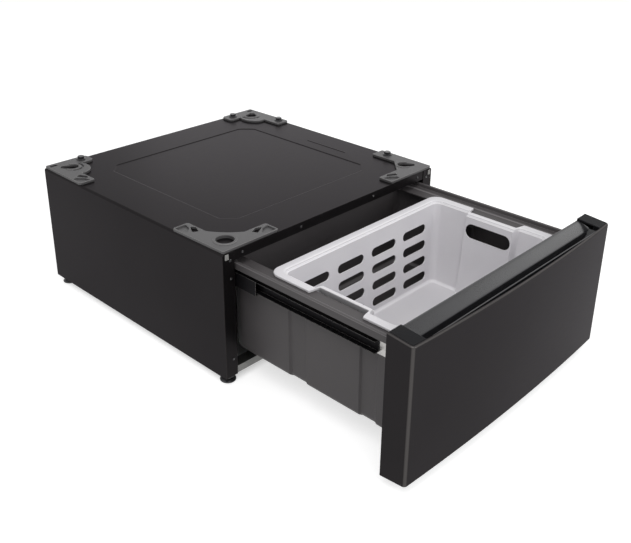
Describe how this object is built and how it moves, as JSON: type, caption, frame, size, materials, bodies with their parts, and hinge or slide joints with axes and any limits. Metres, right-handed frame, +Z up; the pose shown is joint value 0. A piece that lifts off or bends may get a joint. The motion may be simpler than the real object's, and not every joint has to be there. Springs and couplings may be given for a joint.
{
  "type": "washer pedestal drawer",
  "caption": "Low steel pedestal for a washer with corner brackets on top, levelling feet and a full-width drawer on telescopic slides that holds a slotted laundry basket.",
  "frame": {"origin": "on the floor, under the middle of the bounding box of the pedestal with its drawer drawn out as in the picture", "axes": "+Y towards the back of the pedestal, -Y the way the drawer opens, +Z up, +X to the right seen from the front"},
  "size_m": [0.737, 1.244, 0.3526],
  "materials": {
    "black_steel": "satin black stainless look",
    "black_trim": "satin black moulded trim",
    "galvanised": "galvanised sheet",
    "zinc": "bright zinc plating",
    "slide_steel": "black coated roll-formed steel",
    "grey_bracket": "grey coated pressing",
    "grey_tub": "fine grained moulding",
    "white_basket": "smooth white moulding",
    "dark_steel": "dark plated",
    "pale_pad": "soft pad"
  },
  "bodies": {
    "cabinet": {"cabinet_wrap": "black_steel", "back_panel": "galvanised", "front_top_rail": "black_steel", "front_bottom_rail": "galvanised", "rear_bottom_rail": "galvanised", "base_rail_left": "galvanised", "front_column_left": "black_steel", "rear_column_left": "galvanised", "bumper_pad_left": "pale_pad", "slide_cabinet_member_left": "slide_steel", "slide_hanger_left": "galvanised", "column_screw_left_1": "dark_steel", "column_screw_left_2": "dark_steel", "column_screw_left_3": "dark_steel", "corner_bracket_front_left": "grey_bracket", "foot_lock_nut_front_left": "zinc", "corner_bracket_rear_left": "grey_bracket", "foot_lock_nut_rear_left": "zinc", "base_rail_right": "galvanised", "front_column_right": "black_steel", "rear_column_right": "galvanised", "bumper_pad_right": "pale_pad", "slide_cabinet_member_right": "slide_steel", "slide_hanger_right": "galvanised", "column_screw_right_1": "dark_steel", "column_screw_right_2": "dark_steel", "column_screw_right_3": "dark_steel", "corner_bracket_front_right": "grey_bracket", "foot_lock_nut_front_right": "zinc", "corner_bracket_rear_right": "grey_bracket", "foot_lock_nut_rear_right": "zinc", "rail_screw_1": "dark_steel", "rail_screw_2": "dark_steel", "rail_screw_3": "dark_steel", "rail_screw_4": "dark_steel", "bracket_bolt_front_right": "dark_steel", "bracket_bolt_rear_left": "dark_steel", "bracket_bolt_rear_right_1": "dark_steel", "bracket_bolt_rear_right_2": "dark_steel"},
    "drawer": {"drawer_tub": "grey_tub", "drawer_front_skin": "black_steel", "grip_trim": "black_trim", "front_inner_panel": "black_trim", "drawer_side_rail_left": "zinc", "slide_drawer_member_left": "slide_steel", "front_end_cap_left": "black_trim", "drawer_side_rail_right": "zinc", "slide_drawer_member_right": "slide_steel", "front_end_cap_right": "black_trim"},
    "basket": {"laundry_basket": "white_basket"},
    "slide_intermediate_left": {"slide_intermediate_member_left": "slide_steel"},
    "ball_cage_outer_left": {"slide_ball_cage_outer_left": "zinc"},
    "ball_cage_inner_left": {"slide_ball_cage_inner_left": "zinc"},
    "slide_intermediate_right": {"slide_intermediate_member_right": "slide_steel"},
    "ball_cage_outer_right": {"slide_ball_cage_outer_right": "zinc"},
    "ball_cage_inner_right": {"slide_ball_cage_inner_right": "zinc"},
    "foot_front_left": {"levelling_foot_front_left": "dark_steel"},
    "foot_front_right": {"levelling_foot_front_right": "dark_steel"},
    "foot_rear_left": {"levelling_foot_rear_left": "dark_steel"},
    "foot_rear_right": {"levelling_foot_rear_right": "dark_steel"}
  },
  "joints": [
    {"name": "drawer_slide", "type": "slide", "parent": "cabinet", "child": "drawer", "axis": [0, -1, 0], "range_m": [-0.446, 0]},
    {"name": "slide_intermediate_left_slide", "type": "slide", "parent": "cabinet", "child": "slide_intermediate_left", "axis": [0, -1, 0], "range_m": [-0.223, 0]},
    {"name": "ball_cage_outer_left_slide", "type": "slide", "parent": "cabinet", "child": "ball_cage_outer_left", "axis": [0, -1, 0], "range_m": [-0.1115, 0]},
    {"name": "ball_cage_inner_left_slide", "type": "slide", "parent": "cabinet", "child": "ball_cage_inner_left", "axis": [0, -1, 0], "range_m": [-0.3345, 0]},
    {"name": "slide_intermediate_right_slide", "type": "slide", "parent": "cabinet", "child": "slide_intermediate_right", "axis": [0, -1, 0], "range_m": [-0.223, 0]},
    {"name": "ball_cage_outer_right_slide", "type": "slide", "parent": "cabinet", "child": "ball_cage_outer_right", "axis": [0, -1, 0], "range_m": [-0.1115, 0]},
    {"name": "ball_cage_inner_right_slide", "type": "slide", "parent": "cabinet", "child": "ball_cage_inner_right", "axis": [0, -1, 0], "range_m": [-0.3345, 0]},
    {"name": "basket_slide", "type": "slide", "parent": "drawer", "child": "basket", "axis": [0, 1, 0], "range_m": [0, 0.115]},
    {"name": "foot_turn_front_left", "type": "hinge", "parent": "cabinet", "child": "foot_front_left", "pos_m": [-0.345, -0.076, 0.03], "axis": [0, 0, 1], "range_deg": [-1440, 1440]},
    {"name": "foot_turn_front_right", "type": "hinge", "parent": "cabinet", "child": "foot_front_right", "pos_m": [0.345, -0.076, 0.03], "axis": [0, 0, 1], "range_deg": [-1440, 1440]},
    {"name": "foot_turn_rear_left", "type": "hinge", "parent": "cabinet", "child": "foot_rear_left", "pos_m": [-0.345, 0.598, 0.03], "axis": [0, 0, 1], "range_deg": [-1440, 1440]},
    {"name": "foot_turn_rear_right", "type": "hinge", "parent": "cabinet", "child": "foot_rear_right", "pos_m": [0.345, 0.598, 0.03], "axis": [0, 0, 1], "range_deg": [-1440, 1440]}
  ],
  "couplings": [
    {"joint": "slide_intermediate_left_slide", "follows": "drawer_slide", "ratio": 0.5},
    {"joint": "ball_cage_outer_left_slide", "follows": "drawer_slide", "ratio": 0.25},
    {"joint": "ball_cage_inner_left_slide", "follows": "drawer_slide", "ratio": 0.75},
    {"joint": "slide_intermediate_right_slide", "follows": "drawer_slide", "ratio": 0.5},
    {"joint": "ball_cage_outer_right_slide", "follows": "drawer_slide", "ratio": 0.25},
    {"joint": "ball_cage_inner_right_slide", "follows": "drawer_slide", "ratio": 0.75}
  ]
}
